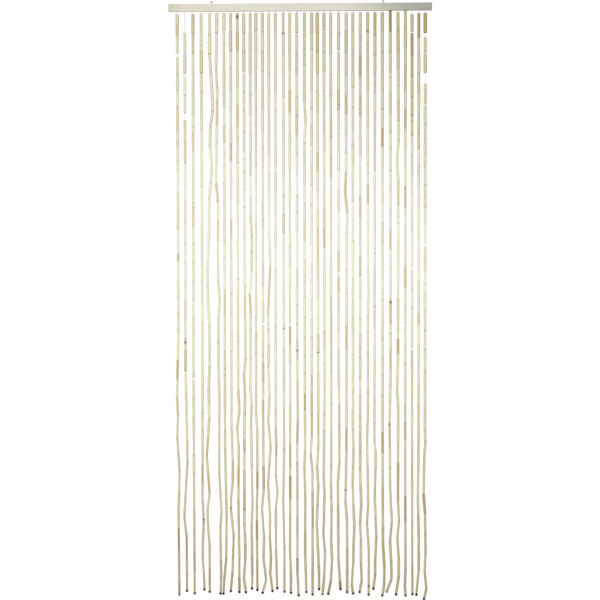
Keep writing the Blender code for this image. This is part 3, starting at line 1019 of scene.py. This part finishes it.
class OBJECT_OT_curtain_batten(bpy.types.Operator):
    """Planes the batten and drills its thread holes and screw holes"""

    bl_idname = "object.curtain_batten"
    bl_label = "Batten"

    def execute(self, context):
        size = BATTEN_HIGH - BATTEN_LOW
        bm = bmesh.new()
        bmesh.ops.create_cube(bm, size=1.0)
        bmesh.ops.scale(bm, vec=size, verts=bm.verts)
        bmesh.ops.translate(bm, vec=(BATTEN_LOW + BATTEN_HIGH) / 2, verts=bm.verts)
        bmesh.ops.bevel(bm, geom=bm.edges[:], offset=settings().edge_rounding, offset_type="OFFSET",
                        segments=3, profile=0.5, affect="EDGES", material=-1)
        blank = linked("blank", raw_mesh(bm, "blank"))

        cutters = bmesh.new()
        for strand in STRANDS:
            drilled(cutters, strand.hole, KNOT_POCKET_RADIUS, HOLE_PAST, -KNOT_POCKET_DEPTH,
                    WIDE_HOLE_SIDES)
            drilled(cutters, strand.hole, THREAD_HOLE_RADIUS, HOLE_OVERLAP - KNOT_POCKET_DEPTH,
                    -BATTEN_HEIGHT - HOLE_PAST, THREAD_HOLE_SIDES)
        wire = settings().eye_wire / 2 / MM
        for eye in EYES:
            drilled(cutters, eye.across, wire + SCREW_CLEARANCE, HOLE_PAST,
                    -EYE_SCREW_DEPTH - SCREW_CLEARANCE, WIDE_HOLE_SIDES)
        cutter = linked("cutter", raw_mesh(cutters, "holes"))

        cut = blank.modifiers.new("drilled holes", "BOOLEAN")
        cut.operation = "DIFFERENCE"
        cut.object = cutter
        mesh = smoothed(solved_mesh(blank), math.radians(35))
        bpy.data.objects.remove(cutter)
        mesh.name = "curtain_batten"
        link_piece(mesh, batten_material(), ["batten"])
        return {"FINISHED"}


# Screw eyes

EYE_STEPS = 32
SCREW_TURNS = 7
SCREW_PITCH = 1.1
SCREW_STEPS = 12
# (height in mm, share of the wire's thickness), from the screw's point to the batten's top
EYE_SHANK = ((-EYE_SCREW_DEPTH, 0.15), (-EYE_SCREW_DEPTH + 1.6, 0.75), (-1.0, 0.80), (-0.6, 1.0))
# (share of the wire's radius, height in mm) round the section of the screw's ridge
RIDGE_SECTION = ((0.7, -0.3), (1.15, 0.0), (0.7, 0.3))
RIDGE_START = 0.9


def eye_line(ring):
    """The wire's (point, share of its thickness), in millimetres: up the screw and round the ring."""
    high = ring * EYE_RING_FLATNESS
    neck = EYE_RING_LIFT + high * math.sin(EYE_RING_START) - EYE_BEND
    shank = (*EYE_SHANK, (neck / 2, 1.0), (neck, 1.0))
    line = [(Vector((0.0, 0.0, height)), share) for height, share in shank]
    for step in range(EYE_STEPS + 1):
        angle = EYE_RING_START + (EYE_RING_END - EYE_RING_START) * step / EYE_STEPS
        x, z = EYE_RING_ASIDE + ring * math.cos(angle), EYE_RING_LIFT + high * math.sin(angle)
        line.append((Vector((x, 0.0, z)), 1.0))
    return line


def add_screw_ridge(bm, wire):
    """Winds a sharp ridge up the screw."""
    section = [bm.verts.new((wire * share, 0.0, height - EYE_SCREW_DEPTH + RIDGE_START))
               for share, height in RIDGE_SECTION]
    face = bm.faces.new(section)
    bmesh.ops.spin(bm, geom=[*section, *face.edges, face], cent=(0, 0, 0), axis=(0, 0, 1),
                   dvec=(0, 0, SCREW_PITCH / SCREW_STEPS), angle=math.tau * SCREW_TURNS,
                   steps=SCREW_STEPS * SCREW_TURNS)


def build_eye(eye, material):
    """Bent wire with a screw at its foot, its end closed against the neck."""
    wire = settings().eye_wire / 2 / MM
    bent = swept_mesh("wire", eye_line(settings().eye_ring / MM), wire, 3)
    bm = bmesh.new()
    bm.from_mesh(bent)
    bpy.data.meshes.remove(bent)
    add_screw_ridge(bm, wire)
    place = Matrix.Scale(MM, 4) @ Matrix.Translation((eye.across, 0.0, 0.0))
    bmesh.ops.transform(bm, matrix=place @ Matrix.Rotation(eye.turned, 4, "Z"), verts=bm.verts)
    bmesh.ops.recalc_face_normals(bm, faces=bm.faces)
    mesh = smoothed(raw_mesh(bm, f"{eye.node}_wire"), math.radians(50))
    link_piece(mesh, material, [eye.node])


class OBJECT_OT_curtain_eyes(bpy.types.Operator):
    """Bends the two screw eyes that hang the batten"""

    bl_idname = "object.curtain_eyes"
    bl_label = "Screw Eyes"

    def execute(self, context):
        material = zinc_material()
        for eye in EYES:
            build_eye(eye, material)
        return {"FINISHED"}


# Studio

CAMERA_PLACE = Vector((0.144, -4.5, -0.909))
CAMERA_TURNED_LEFT = math.radians(1.8255)
CAMERA_PITCHED_DOWN = math.radians(1.31)
CAMERA_LENS = 78.8
FLOOR_UNDER_BEADS = 0.03
FLOOR_RADIUS = 6.0
KEY_PLACE = (-0.7, -3.0, -0.6)
KEY_AIM = (-0.05, 0.0, -0.8)
KEY_SIZE = 1.0
KEY_POWER = 42.0
# How bright the sky is all round, how much more in front and behind, and how much more overhead
SKY_SIDES = 0.26
SKY_FRONT = 0.78
SKY_TOP = 1.3


def studio_sky():
    """White in front and behind and overhead, and dim to the sides, so that pale tubes keep an edge."""
    world = bpy.data.worlds.new("studio")
    world.use_nodes = True
    tree = world.node_tree
    axes = add_node(tree, "ShaderNodeSeparateXYZ",
                    {0: add_node(tree, "ShaderNodeTexCoord").outputs["Generated"]}).outputs
    front = maths(tree, "MULTIPLY", maths(tree, "MULTIPLY", axes[1], axes[1]), SKY_FRONT)
    up = maths(tree, "MAXIMUM", axes[2], 0.0)
    top = maths(tree, "MULTIPLY", maths(tree, "MULTIPLY", up, up), SKY_TOP)
    strength = maths(tree, "ADD", maths(tree, "ADD", front, top), SKY_SIDES)
    set_inputs(tree, tree.nodes["Background"], {"Color": grey(1.0), "Strength": strength})
    return world


def add_key_light():
    data = bpy.data.lights.new("key", "AREA")
    data.shape = "DISK"
    data.size = KEY_SIZE
    data.energy = KEY_POWER
    light = linked("key", data)
    light.location = KEY_PLACE
    light.rotation_euler = (Vector(KEY_AIM) - Vector(KEY_PLACE)).to_track_quat("-Z", "Y").to_euler()


class OBJECT_OT_curtain_studio(bpy.types.Operator):
    """Sets the white floor, the sky, one soft light and the camera"""

    bl_idname = "object.curtain_studio"
    bl_label = "Studio"

    def execute(self, context):
        data = bpy.data.cameras.new("camera")
        data.lens = CAMERA_LENS
        camera = linked("camera", data)
        camera.location = CAMERA_PLACE
        camera.rotation_euler = (math.radians(90) - CAMERA_PITCHED_DOWN, 0.0, CAMERA_TURNED_LEFT)
        context.scene.camera = camera

        bm = bmesh.new()
        low = CAD_BOX[0][2] - FLOOR_UNDER_BEADS
        bmesh.ops.create_circle(bm, cap_ends=True, segments=96, radius=FLOOR_RADIUS,
                                matrix=Matrix.Translation((0.0, 0.0, low)))
        bmesh.ops.recalc_face_normals(bm, faces=bm.faces)
        mesh = raw_mesh(bm, "floor")
        mesh.materials.append(paper_material())
        linked("floor", mesh)

        context.scene.world = studio_sky()
        context.scene.view_settings.view_transform = "Standard"
        add_key_light()
        return {"FINISHED"}


class VIEW3D_PT_door_curtain(bpy.types.Panel):
    """Lists the curtain's sizes, colours and pieces"""

    bl_label = "Door Curtain"
    bl_space_type = "VIEW_3D"
    bl_region_type = "UI"
    bl_category = "Door Curtain"

    def draw(self, context):
        for name in CurtainSettings.__annotations__:
            self.layout.prop(context.scene.door_curtain, name)
        for operator in OPERATORS:
            self.layout.operator(operator.bl_idname)


OPERATORS = (
    OBJECT_OT_curtain_studio,
    OBJECT_OT_curtain_batten,
    OBJECT_OT_curtain_eyes,
    OBJECT_OT_curtain_tubes,
    OBJECT_OT_curtain_beads,
    OBJECT_OT_curtain_threads,
    OBJECT_OT_curtain_knots,
)
CLASSES = (CurtainSettings, *OPERATORS, VIEW3D_PT_door_curtain)


def register():
    for item in CLASSES:
        bpy.utils.register_class(item)
    bpy.types.Scene.door_curtain = bpy.props.PointerProperty(type=CurtainSettings)


def unregister():
    del bpy.types.Scene.door_curtain
    for item in reversed(CLASSES):
        bpy.utils.unregister_class(item)


def main():
    register()
    bpy.ops.object.curtain_studio()
    bpy.ops.object.curtain_batten()
    bpy.ops.object.curtain_eyes()
    bpy.ops.object.curtain_tubes()
    bpy.ops.object.curtain_beads()
    bpy.ops.object.curtain_threads()
    bpy.ops.object.curtain_knots()


if __name__ == "__main__":
    main()
